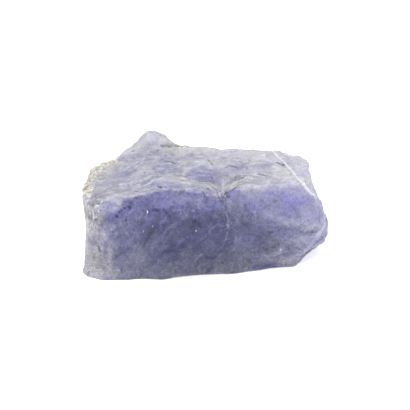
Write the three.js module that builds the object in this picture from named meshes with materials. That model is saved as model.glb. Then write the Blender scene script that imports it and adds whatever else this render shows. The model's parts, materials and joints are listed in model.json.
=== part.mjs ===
// A rough piece of tanzanite, the blue-violet gem variety of zoisite, broken from its seam and left uncut.
// Millimetres, +Z up, +X along the stone, +Y to its back. The origin is under the middle of the stone, on
// the surface that it rests on.
//
// The stone grew and broke off as one piece, so it is one solid. It starts as an even grid of points on a
// box. Each point slides along its ray from the heart of the stone to the first broken face that it meets,
// which gives flat faces with true edges between them. Strokes then raise the lumps and sink the hollows,
// ledges step the cleaved top, and noise drawn out along the crystal roughens it all.
import * as THREE from "three";
import { ImprovedNoise } from "three/addons/math/ImprovedNoise.js";
import { mergeVertices } from "three/addons/utils/BufferGeometryUtils.js";

// Driving sizes of the block that the faces are broken from.
const LENGTH = 33;
const DEPTH = 16.5;
const HEIGHT = 13.5;
const GRID = 0.72; // between neighbouring points of the box

// The heart of the stone, which every ray leaves.
const HEART = new THREE.Vector3(-0.5, -0.5, 6);

// The line inside the stone that its roughness is pushed out from.
const SPINE = new THREE.Line3(new THREE.Vector3(-10, -0.5, 6), new THREE.Vector3(9, -0.5, 6));

// How far a point of the box may shift to lie on an edge, as a share of the grid.
const EDGE_CATCH = 0.45;

// A triangle smaller than this is a sliver.
const SLIVER = (GRID * GRID) / 16;

// The small flat spot that the stone rests on: an ellipse on the foot.
const FLAT_SPOT = { x: -2, y: -2, halfLength: 7.5, halfDepth: 3.6 };

// Roughness of the broken faces: lumps of one size across and along the crystal, and how high they stand.
const ROUGHNESS = [
  { along: 6, across: 4.6, height: 0.42, seed: 0 },
  { along: 2.6, across: 1.9, height: 0.2, seed: 7 },
];

// Growth ridges, which run along the crystal on the cleaved top.
const GROWTH_RIDGES = { along: 9, across: 1.5, height: 0.26, seed: 3 };
const TOP_STARTS = 9.5; // height over which a face counts as the top

// The broken faces: a point on each, and the way that it faces.
const FACES = [
  { name: "foot", at: [0, 0, 0], facing: [0, 0, -1] },
  { name: "foot, back", at: [0, 4.4, 0.1], facing: [0.02, 0.13, -1] },
  { name: "foot, right", at: [9.5, 0, 0.05], facing: [0.09, 0.02, -1] },
  { name: "front, foot edge", at: [0, -8.3, 0.35], facing: [0, -0.75, -0.66] },
  { name: "back, foot edge", at: [0, 7, 1.2], facing: [0.1, 0.75, -0.66] },
  { name: "front", at: [1, -8.4, 4], facing: [0.02, -1, -0.02] },
  { name: "front, left half", at: [-10, -7.75, 4], facing: [-0.15, -0.98, -0.02] },
  { name: "front bevel, left", at: [-13, -6.9, 10.8], facing: [-0.12, -0.92, 0.36] },
  { name: "front bevel, middle", at: [-5.7, -6.3, 11.9], facing: [-0.12, -0.7, 0.7] },
  { name: "front bevel, centre", at: [0.5, -7.3, 11.3], facing: [0.02, -0.8, 0.6] },
  { name: "front bevel, right", at: [9, -6.2, 11.3], facing: [0.15, -0.86, 0.47] },
  { name: "front bevel, far right", at: [12, -6.6, 10.4], facing: [0.58, -0.74, 0.33] },
  { name: "right front corner", at: [12.8, -5.9, 0], facing: [0.63, -0.68, -0.37] },
  { name: "right end", at: [13.7, 0, 10.2], facing: [0.9, -0.12, 0.4] },
  { name: "right end, low", at: [15.9, -4, 4], facing: [0.99, -0.1, 0.05] },
  { name: "right end, undercut", at: [15.7, -4.2, 1.8], facing: [0.7, -0.1, -0.7] },
  { name: "right shoulder", at: [10.7, 0, 11.1], facing: [0.2, 0.05, 0.98] },
  { name: "top", at: [-2, 0, 11.9], facing: [0.05, -0.02, 1] },
  { name: "top, left", at: [-10, 0, 11.5], facing: [-0.2, 0, 0.97] },
  { name: "left front corner", at: [-15, -6.4, 4], facing: [-0.6, -0.8, 0.02] },
  { name: "left end", at: [-16, -3, 5], facing: [-1, 0.1, 0.02] },
  { name: "left shoulder", at: [-14.7, -0.5, 10.7], facing: [-0.82, 0.3, 0.45] },
  { name: "left back corner", at: [-12.5, 3.9, 10.7], facing: [-0.66, 0.74, 0.15] },
  { name: "left back corner, low", at: [-13.4, 4.4, 3], facing: [-0.68, 0.64, -0.34] },
  { name: "back", at: [-4, 7.6, 4], facing: [0.14, 0.98, -0.12] },
  { name: "back, upper", at: [3, 5.2, 11.5], facing: [0.2, 0.84, 0.5] },
  { name: "back right corner", at: [12.5, 4, 10.2], facing: [0.7, 0.68, 0.2] },
];

// Lumps and hollows: each pulls the skin along `pull`, most on the line between its two points, and not at
// all past `reach`.
const STROKES = [
  { name: "mound, back left", from: [-6, 6.4, 11.8], to: [-5.2, 6.6, 11.8],
    reach: 3, pull: [0, 0.5, 1.6] },
  { name: "swell of the front edge", from: [-6, -6.4, 11.6], to: [-3.5, -6.4, 11.6],
    reach: 4, pull: [0, 0, 0.4] },
  { name: "notch in the front edge", from: [0.6, -8, 11], to: [2.5, -3.5, 12],
    reach: 2.2, pull: [0, 0.2, -1] },
  { name: "hollow behind the notch", from: [-1.8, -1.4, 12], to: [1.5, -2.6, 12],
    reach: 3, pull: [0, 0, -0.6] },
  { name: "crust on the left shoulder", from: [-14.4, 2.4, 9.6], to: [-16, -3.6, 9],
    reach: 2.6, pull: [-0.4, 0.3, 0.9] },
  { name: "white ridge", from: [10.1, 4.4, 11.1], to: [12, -6, 10.8],
    reach: 1.3, pull: [0.1, 0, 0.35] },
  { name: "toe, front left", from: [-16, -5, 0.4], to: [-16, -5, 0.6],
    reach: 2.4, pull: [-0.6, 0, 0] },
  { name: "bowl in the front", from: [-4, -8.2, 4.4], to: [3, -8.2, 4],
    reach: 4.4, pull: [0, 0.45, 0] },
  { name: "scoop in the front, right", from: [7, -8.3, 5.2], to: [9.5, -8.3, 3.6],
    reach: 2.8, pull: [0, 0.5, 0] },
  { name: "swell in the front, left", from: [-9, -8, 6], to: [-7, -8, 2.6],
    reach: 3.2, pull: [0, -0.35, 0] },
  { name: "chip under the right end", from: [13, -5, 1.2], to: [13.4, -1, 1.2],
    reach: 2.4, pull: [-0.5, 0.2, 0.3] },
  { name: "scar in the back", from: [-9, 8, 7], to: [-1, 8, 5],
    reach: 4, pull: [0, -1, 0] },
  { name: "rib along the back", from: [-13, 6, 3.5], to: [9, 6.6, 3],
    reach: 2.6, pull: [0, 0.7, 0] },
  { name: "scoop in the right end", from: [15, 1, 5], to: [14.6, 2, 7],
    reach: 3, pull: [-0.7, -0.2, 0] },
  { name: "scoop in the left end", from: [-16, -1, 6], to: [-15.6, 1, 3],
    reach: 2.8, pull: [0.5, 0, 0] },
  { name: "pit by the left front corner", from: [-15.2, -6.4, 8.4], to: [-14.6, -6.8, 8.2],
    reach: 1.4, pull: [0.3, 0.35, 0] },
  { name: "pit in the top, left", from: [-11.5, -0.5, 11.4], to: [-11, -0.2, 11.4],
    reach: 1.5, pull: [0, 0, -0.4] },
  { name: "pit in the front, low right", from: [8.8, -8.4, 1.6], to: [9.6, -8.4, 2],
    reach: 1.6, pull: [0, 0.45, 0] },
  { name: "pit in the back", from: [4, 7, 7], to: [4.6, 6.9, 6.6],
    reach: 1.8, pull: [0, -0.5, 0] },
];

const LEDGE_FADE = 0.15; // share of a ledge's length over which each of its ends fades

// Steps in the cleaved top: on the way from `from` to `to`, the top drops on the right hand and climbs back
// over `reach`.
const LEDGES = [
  { name: "in front of the mound", from: [-9.5, 4.4], to: [-1.4, 4.9], drop: 0.45, reach: 3 },
  { name: "left of the hollow", from: [-7, 0.6], to: [0.2, -3.4], drop: 0.35, reach: 2.4 },
  { name: "right of the hollow", from: [7, 1.6], to: [1.8, -3.6], drop: 0.4, reach: 2.6 },
  { name: "left, along the front", from: [-13, -2.6], to: [-7.4, -3.4], drop: 0.3, reach: 2.2 },
  { name: "beyond the white ridge", from: [12.2, -4.6], to: [11, 4], drop: 0.3, reach: 2.4 },
];

const { smoothstep } = THREE.MathUtils;
const vector = (array) => new THREE.Vector3(...array);
const perlin = new ImprovedNoise();

// Noise from about -1 to 1, in lumps of one size along the crystal and another across it.
function lumps(p, { along, across, seed }) {
  return perlin.noise(p.x / along + seed, p.y / across - seed, p.z / across + 2 * seed);
}

// Each face as its outward normal over its distance from the heart, so a ray meets it at 1 / (face . ray).
const planes = FACES.map(({ at, facing }) => {
  const normal = vector(facing).normalize();
  return normal.divideScalar(normal.dot(vector(at).sub(HEART)));
});

// The axis across the side of the box that a ray leaves by: 0, 1 or 2.
function sideOf(ray) {
  const shares = [LENGTH, DEPTH, HEIGHT].map((size, axis) => Math.abs(ray.getComponent(axis)) / size);
  return shares.indexOf(Math.max(...shares));
}

// Slides a grid point along its ray to the nearest face. A point whose ray just misses an edge between two
// faces first shifts in its side of the box, so that the mesh has its own points along the edge.
function onFaces(point) {
  const ray = point.clone().sub(HEART);
  const [first, second] = [...planes].sort((a, b) => b.dot(ray) - a.dot(ray));
  const across = first.clone().sub(second);
  const shift = across.clone().setComponent(sideOf(ray), 0);
  const miss = across.dot(ray) / shift.length();
  if (miss < GRID * EDGE_CATCH) ray.addScaledVector(shift.normalize(), -miss);
  const nearest = Math.max(...planes.map((face) => face.dot(ray)));
  return HEART.clone().addScaledVector(ray, 1 / nearest);
}

// Moves a point by every stroke that reaches it.
function stroked(p) {
  const moved = p.clone();
  for (const { from, to, reach, pull } of STROKES) {
    const line = new THREE.Line3(vector(from), vector(to));
    const near = line.closestPointToPoint(p, true, new THREE.Vector3());
    const share = smoothstep(reach - near.distanceTo(p), 0, reach);
    moved.addScaledVector(vector(pull), share);
  }
  return moved;
}

// How far a point belongs to the top, from 0 to 1.
const topShare = (p) => smoothstep(p.z, TOP_STARTS, TOP_STARTS + 1);

// Lowers a point of the top by the ledges that it lies below.
function ledged(p) {
  const lowered = p.clone();
  for (const { from, to, drop, reach } of LEDGES) {
    const start = new THREE.Vector2(...from);
    const run = new THREE.Vector2(...to).sub(start);
    const walked = new THREE.Vector2(p.x, p.y).sub(start);
    const part = walked.dot(run) / run.lengthSq();
    const below = walked.cross(run) / run.length();
    const ends = smoothstep(part, -LEDGE_FADE, LEDGE_FADE) * smoothstep(1 - part, -LEDGE_FADE, LEDGE_FADE);
    const step = smoothstep(below, -GRID / 2, GRID / 2) * Math.max(0, 1 - below / reach);
    lowered.z -= drop * step * ends * topShare(p);
  }
  return lowered;
}

// Pushes a point out from the spine, or in, by the roughness of the faces and the top's growth ridges.
function roughened(p) {
  const rough = ROUGHNESS.reduce((sum, size) => sum + size.height * lumps(p, size), 0);
  const ridges = GROWTH_RIDGES.height * lumps(p, GROWTH_RIDGES) * topShare(p);
  const outwards = p.clone().sub(SPINE.closestPointToPoint(p, true, new THREE.Vector3())).normalize();
  return p.clone().addScaledVector(outwards, rough + ridges);
}

// Keeps the foot at or over the surface, and the flat spot on it.
function settled(p) {
  const { x, y, halfLength, halfDepth } = FLAT_SPOT;
  const inSpot = Math.hypot((p.x - x) / halfLength, (p.y - y) / halfDepth) < 1;
  const isFoot = p.z < HEIGHT / 8;
  return new THREE.Vector3(p.x, p.y, isFoot && inSpot ? 0 : Math.max(p.z, 0));
}

// The box's own quads, each parted along the diagonal that stands further out, which keeps the stone's
// edges unbroken, or along the other one where that would leave a sliver.
function partedQuads(points, index) {
  const parted = [];
  const outwards = (m, n) => points[m].clone().lerp(points[n], 0.5).distanceTo(HEART);
  const area = (l, m, n) => new THREE.Triangle(points[l], points[m], points[n]).getArea();
  for (let i = 0; i < index.length; i += 6) {
    const [a, b, d, , c] = index.slice(i, i + 6);
    const least = Math.min(area(a, b, c), area(a, c, d));
    const leastOther = Math.min(area(a, b, d), area(b, c, d));
    const further = outwards(a, c) > outwards(b, d);
    const sliver = Math.min(least, leastOther) < SLIVER;
    if (sliver ? least > leastOther : further) parted.push(a, b, c, a, c, d);
    else parted.push(a, b, d, b, c, d);
  }
  return parted;
}

function stoneGeometry() {
  const steps = (size) => Math.round(size / GRID);
  const box = new THREE.BoxGeometry(LENGTH, DEPTH, HEIGHT, steps(LENGTH), steps(DEPTH), steps(HEIGHT));
  box.translate(HEART.x, HEART.y, HEART.z);
  box.deleteAttribute("normal");
  box.deleteAttribute("uv");
  const skin = mergeVertices(box, GRID / 1000);
  const place = skin.getAttribute("position");
  const write = (points) => points.forEach((p, i) => place.setXYZ(i, p.x, p.y, p.z));

  const gridPoint = (_, i) => new THREE.Vector3().fromBufferAttribute(place, i);
  const broken = Array.from({ length: place.count }, gridPoint).map(onFaces);
  skin.setIndex(partedQuads(broken, Array.from(skin.index.array)));
  write(broken.map(stroked).map(ledged).map(roughened).map(settled));
  skin.computeVertexNormals();
  return skin;
}

// Moves the stone so that the origin is under its middle.
function centred(geometry) {
  geometry.computeBoundingBox();
  const middle = geometry.boundingBox.getCenter(new THREE.Vector3());
  return geometry.translate(-middle.x, -middle.y, -geometry.boundingBox.min.z);
}

const tanzanite = new THREE.MeshStandardMaterial({ color: "#8c8ab4", roughness: 0.5, metalness: 0 });

const stone = new THREE.Mesh(centred(stoneGeometry()), tanzanite);
stone.name = "tanzanite_stone";

const part = new THREE.Group();
part.add(stone);

export default part;
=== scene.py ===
"""Rough tanzanite: the finished stone and its studio, as a Blender add-on that is run as a script."""

import json
import math

import bpy
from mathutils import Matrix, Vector

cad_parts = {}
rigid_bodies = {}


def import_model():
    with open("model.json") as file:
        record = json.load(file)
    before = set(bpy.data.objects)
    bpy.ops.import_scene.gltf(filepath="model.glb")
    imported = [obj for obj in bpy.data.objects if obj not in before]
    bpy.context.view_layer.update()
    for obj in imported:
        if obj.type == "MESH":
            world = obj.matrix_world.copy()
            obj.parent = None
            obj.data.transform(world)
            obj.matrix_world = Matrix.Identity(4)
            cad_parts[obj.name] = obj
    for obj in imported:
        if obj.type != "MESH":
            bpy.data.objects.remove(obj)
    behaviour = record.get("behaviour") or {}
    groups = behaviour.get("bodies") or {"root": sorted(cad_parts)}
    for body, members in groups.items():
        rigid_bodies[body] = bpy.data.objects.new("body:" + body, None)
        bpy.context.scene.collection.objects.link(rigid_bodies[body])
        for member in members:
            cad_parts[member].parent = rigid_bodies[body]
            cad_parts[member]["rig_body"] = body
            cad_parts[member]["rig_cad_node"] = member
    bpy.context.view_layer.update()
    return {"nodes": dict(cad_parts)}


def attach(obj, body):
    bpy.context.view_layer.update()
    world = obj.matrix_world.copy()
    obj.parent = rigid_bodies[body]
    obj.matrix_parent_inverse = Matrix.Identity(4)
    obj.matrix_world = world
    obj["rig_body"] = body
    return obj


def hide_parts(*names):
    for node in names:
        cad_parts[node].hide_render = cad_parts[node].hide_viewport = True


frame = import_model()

bl_info = {
    "name": "Rough Tanzanite",
    "version": (1, 0, 0),
    "blender": (4, 5, 0),
    "location": "3D View > Sidebar > Tanzanite",
    "description": "Dresses a broken tanzanite crystal and sets up its studio",
    "category": "Add Mesh",
}

NODE = "tanzanite_stone"
MM = 0.001
WELD = 1e-7  # corners of the solid's triangles that are this close are one point
QUAD_LIMIT = math.radians(70.0)  # how skew and how bent a pair of triangles may be that is made one face
EDGE_ANGLE = math.radians(28.0)  # an edge that turns by more than this is a broken edge
SMOOTH_LEVELS = 2
EASE_STEPS = 40  # rounds of smoothing that wear a corner away
SLOPE_STEPS = 10  # rounds of smoothing of the slope that parts the top from the front
FEWEST_FACES = 50000  # the stone has more once its relief is raised
ZOISITE_IOR = 1.69
WHITE = (1.0, 1.0, 1.0, 1.0)
TONE_SWAY = (0.08, 0.08, 0.4)  # how far the red, green and blue drift over the stone

# Places on the stone are in millimetres from the middle of its foot, X lengthwise and Y to the back.

# Runs of corners along the thin features that cross the stone.
WHITE_RIDGE = (
    (9.8, 3.9, 11.4), (10.1, 2.5, 11.4), (10.4, 0.7, 11.5), (10.7, -0.6, 11.4), (11, -1.7, 11.4),
    (11.2, -3.4, 11.4), (11.4, -4.8, 11.4), (12, -5.7, 11), (12.7, -5.8, 10), (13.1, -5.8, 9.5),
    (13.6, -4.9, 8.8), (14.6, -2.8, 7.2),
)
LEFT_EDGE = ((-14.3, -0.8, 10.9), (-15.1, -2.8, 10.7), (-15.7, -5.3, 10.3))
LEFT_CORNER = (
    (-13.8, -5.4, 10.9), (-14.2, -6, 10.6), (-14.8, -6.2, 10.2), (-15.2, -6, 9.5), (-15.2, -5.7, 8.1),
    (-15.9, -5.4, 6.7),
)
NOTCH_RIM = ((-0.7, -7.2, 11.2), (0.5, -6.6, 10.8), (1.5, -5.2, 10.6), (2.1, -3.2, 10.1), (2.3, -1.7, 10.4))
CREAM_VEIN = (
    (-5.6, -1.4, 12), (-3.9, -2, 11.5), (-2.7, -3.8, 11.8), (-0.6, -4.8, 11.5), (1.2, -4.4, 10.6),
    (2.3, -3.6, 10.1), (3.1, -3.7, 10.5), (4.2, -4.8, 11.4), (6, -3.9, 11.4),
)
SCARP = ((-4.6, 5, 12.6), (-3.6, 5.4, 12.4), (-2.9, 5.8, 12.3), (-1.9, 5.8, 12))
NOTCH_SLIT = (
    (1.1, -7.4, 9.8), (1.2, -6.9, 10.3), (1.6, -6.3, 10.6), (1.9, -5.7, 10.6), (2.3, -5.8, 10.8),
    (2.7, -5.9, 11.1), (3.3, -6, 11.4),
)
FRONT_CRACK = (
    (2.1, -2, 10.2), (1.7, -3.9, 10.4), (1.2, -6.7, 10.6), (1.2, -7.1, 10), (1.4, -8.2, 9.3),
    (1.5, -8.4, 8.1), (1.5, -8.4, 7.3), (1.6, -8.3, 5.8),
)
VEIL = (
    (6.2, -8, 8.9), (6.9, -8.1, 8.2), (7.5, -8.2, 7.9), (8.9, -8.1, 7.2), (10.1, -8.1, 6.6),
    (11.6, -8.1, 6.2), (13, -7.8, 5.9), (14.7, -6.9, 5.1),
)
LOW_VEIL = ((10.1, -7.7, 3.8), (11.7, -8, 4.1), (12.9, -8.2, 4.3), (13.8, -7.4, 4.5))
HOOK_VEIL = ((6.4, -8.2, 2.5), (7, -8.2, 2.3), (7.9, -8, 2.2), (8.6, -7.8, 2.3), (8.8, -7.7, 2.6))
SCRATCHES = (
    ((2.2, -8.5, 7.2), (2.5, -8.4, 6.6), (2.8, -8, 5.4), (2.7, -7.9, 4.5)),
    ((5.1, -8.1, 9.1), (5.2, -8.5, 8.3), (5.2, -8.4, 7.4)),
    ((1.5, -8.1, 9.3), (1.75, -8.4, 8.1), (1.8, -8.4, 7)),
    ((-3.1, -8.1, 1.4), (-2.3, -8, 2.5), (-1.6, -7.8, 3.1)),
    ((2.2, -8.5, 7.6), (1.7, -8.4, 6.4), (1.5, -8, 5)), ((1.6, -8.3, 5.8), (1.3, -8, 4)),
    ((-6.9, -8.2, 8.2), (-5.6, -8.3, 9.7), (-4, -8.5, 10.1), (-2.7, -8.7, 9.8)),
    ((6.9, -8.1, 8.3), (7.5, -8.2, 7.9), (8, -8.2, 7.7)),
)
FRONT_MARKS = (
    ((-8, -8.2, 7.3), (-8.6, -8.3, 6.4), (-9.1, -8.2, 5.1)),
    ((-6.6, -8.3, 4.1), (-5.8, -8.2, 4.2), (-4.8, -8.1, 4.1)),
    ((-12.9, -7.3, 3.1), (-12.5, -7.4, 3.5), (-12, -7.5, 4.1)), ((-6.5, -8.1, 10.1), (-5.8, -8.4, 9.2)),
    ((-7.2, -8.2, 8), (-6.5, -8.2, 8.2)), ((-2.9, -8.7, 8.8), (-2.7, -8.6, 7.8), (-2.7, -8.2, 6.4)),
    ((-2.3, -8.6, 8), (-1.8, -8.5, 7.4)), ((-1.1, -7.8, 2.8), (-0.4, -7.8, 2.4), (0.2, -7.8, 2.6)),
    ((-0.7, -8.5, 8.8), (-0.3, -8.5, 8.1)), ((3.5, -8.5, 8.4), (3.7, -8.5, 7.4), (4.6, -8, 6)),
    ((3.3, -8.5, 8.1), (3.8, -8.4, 7.1)), ((6.8, -7.6, 4.9), (7.3, -7.6, 5.4), (7.8, -7.6, 5.4)),
    ((6.7, -8.1, 3), (7, -8.1, 2.6)), ((4.2, -8.2, 2), (4.9, -8.2, 1.5)),
    ((-10.4, -6.7, 10.6), (-10.7, -7.1, 10)), ((-8.4, -7.8, 9.9), (-8.3, -7.9, 9.4)),
    ((-7.6, -7.8, 10.1), (-7.2, -7.9, 9.9)), ((7.1, -7.6, 5.2), (7.7, -7.6, 5.3)),
    ((-16.1, -5.9, 0.9), (-15.9, -5.9, 0.5)), ((-14.7, -6.7, 4.8), (-14.6, -6.8, 4.1)),
    ((6.4, -8, 3.3), (6.9, -8, 3.1)), ((7.3, -8.2, 2), (8.3, -7.9, 1.9)),
)
TOP_MARKS = (
    ((6.3, 1.8, 11.2), (6.7, 1.2, 11.4), (7.2, 1, 11.5)), ((5.6, -0.6, 11.6), (5.5, -1.2, 11.5)),
    ((9.6, 0, 11.4), (10.2, -0.6, 11.4), (10.6, -1, 11.4)), ((6.6, -2.8, 11.4), (7.8, -3.4, 11.3)),
    ((3.3, -2.6, 10.6), (4.2, -3.6, 11.3), (5.1, -3, 11.5)), ((0.9, 2, 11.7), (1.2, 0.6, 11.6)),
    ((2.8, -0.1, 11.3), (3.8, 0.1, 11.4), (4.5, -0.4, 11.3)), ((-9.7, -5.3, 11.6), (-9.3, -5.6, 11.7)),
    ((-6.8, -5.9, 12.3), (-6.3, -6.1, 12.2)), ((-6.8, 4.2, 11.8), (-6.3, 4.2, 11.9)),
    ((-12.1, -0.3, 11), (-11.9, -0.3, 11)), ((-4.9, 1.9, 11.9), (-4, 1.4, 12), (-3.3, 1.2, 12)),
)
CRUST_LINE = (
    (-16.3, -3.6, 10.1), (-15.8, -1.4, 10.6), (-14.9, 1.4, 10.7), (-13.6, 3.2, 10.9), (-11.6, 4.9, 11),
)

# Patches of colour on the front and the top: middle, half sizes, share, colour and, if it is turned, degrees.
FRONT_PATCHES = (
    (-7.8, -7.2, 10.2, 5.2, 3, 2, 0.72, "deep_violet"),
    (-12.2, -7.1, 9.4, 2.6, 3, 0.7, 0.45, "deep_violet", 38),
    (-6.2, -7.4, 10.7, 1.8, 3, 0.7, 0.35, "violet_spot", 15),
    (-13.1, -6.6, 10.2, 2.2, 2.5, 1.1, 0.4, "violet_haze", 25),
    (-14.2, -6, 9.8, 1.3, 2.5, 1.9, 0.4, "sugar_end"),
    (-12.2, -6.7, 10.3, 1.5, 2, 0.7, 0.35, "sugar_end", 20),
    (-0.9, -7.9, 10.6, 2.8, 3, 1.2, 0.75, "violet_bevel"),
    (3.1, -8, 8.9, 2.2, 3, 2.4, 0.6, "dull_flank", -40), (-10.2, -7.7, 4, 2, 3, 1.6, 0.5, "warm_foot", 30),
    (-9.6, -7.8, 9, 1.4, 3, 0.6, 0.45, "warm_foot", 40),
    (-5, -8.3, 6.4, 0.9, 3, 1.3, 0.35, "warm_foot", 10),
    (-3.4, -7.9, 3.2, 1.6, 3, 2.2, 0.3, "warm_foot", 20),
    (-7.3, -8.4, 1.5, 1.7, 3, 0.9, 0.35, "grey_heart"), (7.1, -8, 2.5, 1.2, 3, 0.9, 0.3, "dull_flank"),
    (-9, -8.2, 3.2, 1.3, 3, 1.5, 0.35, "dull_flank"), (4.1, -8, 5.2, 1.4, 3, 1.2, 0.7, "grey_heart"),
    (3.1, -7.9, 2.8, 2, 3, 1.3, 0.5, "warm_foot"), (5.4, -8.3, 7.8, 0.6, 3, 1.4, 0.5, "warm_foot"),
    (-2.7, -8.5, 7.8, 1.3, 3, 0.9, 0.4, "ink", 35), (-5.6, -8.1, 4.5, 1.9, 3, 0.6, 0.35, "ink", 25),
    (-7.2, -8.2, 5.4, 2, 3, 2, 0.3, "dull_flank"), (7.8, -7.9, 5.8, 1.7, 3, 0.9, 0.7, "grey_heart"),
    (8.8, -8, 7.7, 1.6, 3, 0.8, 0.55, "violet_band"), (-8.6, -8.1, 6.6, 1.7, 3, 0.8, 0.2, "ink", 50),
    (0.6, -8, 4.2, 1.4, 3, 1.6, 0.12, "ink", 60), (3.9, -8.2, 6.4, 0.7, 3, 1.4, 0.22, "ink", -35),
    (8.9, -7.8, 5.5, 2.8, 3, 0.6, 0.5, "violet_band", -8), (4.2, -8.2, 5.6, 2.2, 3, 2, 0.4, "violet_band"),
    (4.9, -7.9, 3.6, 1.8, 3, 1.2, 0.35, "dull_flank"), (8.2, -7.7, 4.1, 1, 3, 0.8, 0.5, "warm_foot"),
    (10.7, -6.7, 9.5, 3, 3, 1.6, 0.9, "violet_spot", -20),
    (8.2, -6.6, 10.5, 2.8, 2, 0.8, 0.55, "violet_spot", -8),
    (4.4, -7.8, 9.4, 1.3, 3, 0.9, 0.5, "violet_band"), (5.4, -7, 10.8, 2, 2, 0.8, 0.5, "violet_haze"),
    (3.1, -7.9, 4.2, 1.2, 3, 1.2, 0.4, "dull_flank"), (6.1, -8.1, 8.6, 1.3, 3, 1, 0.45, "violet_band"),
    (-8.9, -7.8, 9.2, 1.7, 3, 0.8, 0.4, "violet_bevel"), (1.9, -8.5, 8, 1.1, 3, 1.1, 0.55, "grey_heart"),
    (-2.1, -8.1, 10.5, 1.3, 3, 0.7, 0.35, "warm_foot"), (6, -8.2, 7.5, 2, 3, 1, 0.35, "warm_foot", -20),
    (1.7, -6.8, 10.4, 0.8, 1.5, 0.6, 0.4, "frosted_top"), (-3.8, -8.1, 1.3, 1.8, 3, 1, 0.5, "grey_heart"),
    (-0.5, -7.8, 4.4, 1.3, 3, 1.2, 0.3, "dull_flank"), (0.5, -8.4, 8.8, 1.4, 3, 0.8, 0.35, "dull_flank"),
    (-12.3, -7.3, 9.8, 1.4, 2.5, 0.6, 0.3, "violet_spot", 38),
    (2.5, -7.9, 9.8, 1, 2, 0.8, 0.5, "dull_flank"), (-4.2, -8.6, 9.5, 1.4, 3, 0.8, 0.4, "dull_flank"),
    (-9.8, -8, 6.3, 1.1, 3, 1, 0.4, "grey_heart"), (-13.6, -7.3, 3.7, 1, 3, 1.5, 0.5, "violet_band"),
    (-13.7, -7.1, 1, 1.4, 3, 0.9, 0.4, "sugar_end"), (-11.6, -7.5, 4.5, 1.3, 3, 1.8, 0.42, "grey_heart"),
    (12.6, -7.8, 4.2, 1.8, 3, 0.9, 0.4, "violet_spot"), (11, -7.5, 8, 1.3, 3, 0.8, 0.4, "violet_haze"),
    (12.2, -7.9, 7.1, 1.5, 3, 1, 0.4, "milky_end"), (-10.8, -7.7, 6.9, 1.6, 3, 1.2, 0.3, "violet_bevel"),
    (-3.5, -8.2, 10.8, 1.9, 3, 0.7, 0.5, "dull_flank"), (10, -7.4, 8.4, 1.5, 3, 0.7, 0.6, "violet_spot"),
    (12.4, -7, 8.1, 1.2, 3, 0.8, 0.5, "violet_haze"),
    (13.6, -6.6, 7.6, 1.3, 3, 1.5, 0.5, "violet_haze", -40),
    (11.8, -7.6, 2.7, 1.9, 3, 1.5, 0.4, "milky_end", 20),
    (13.6, -6.8, 3.3, 1.5, 3, 1.3, 0.25, "violet_band"), (12.5, -8, 5.9, 1.6, 3, 0.7, 0.5, "milky_end"),
    (-13.2, -7.4, 7.4, 1.2, 3, 1.2, 0.45, "violet_haze"), (6.6, -8.1, 0.7, 2.6, 3, 0.8, 0.8, "grey_heart"),
    (9.9, -7.8, 1, 1.8, 3, 1, 0.3, "sugar_end"), (15.1, -5.3, 3.4, 2.3, 4.5, 2.7, 0.9, "violet_bevel"),
    (14.4, -6.8, 4.7, 1.3, 2.5, 2, 0.5, "milky_end"), (12.9, -8.1, 5.2, 0.6, 3, 0.4, 0.4, "warm_foot"),
    (1.2, -7.4, 9.9, 0.6, 1.5, 0.8, 0.4, "dull_flank"),
)
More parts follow.
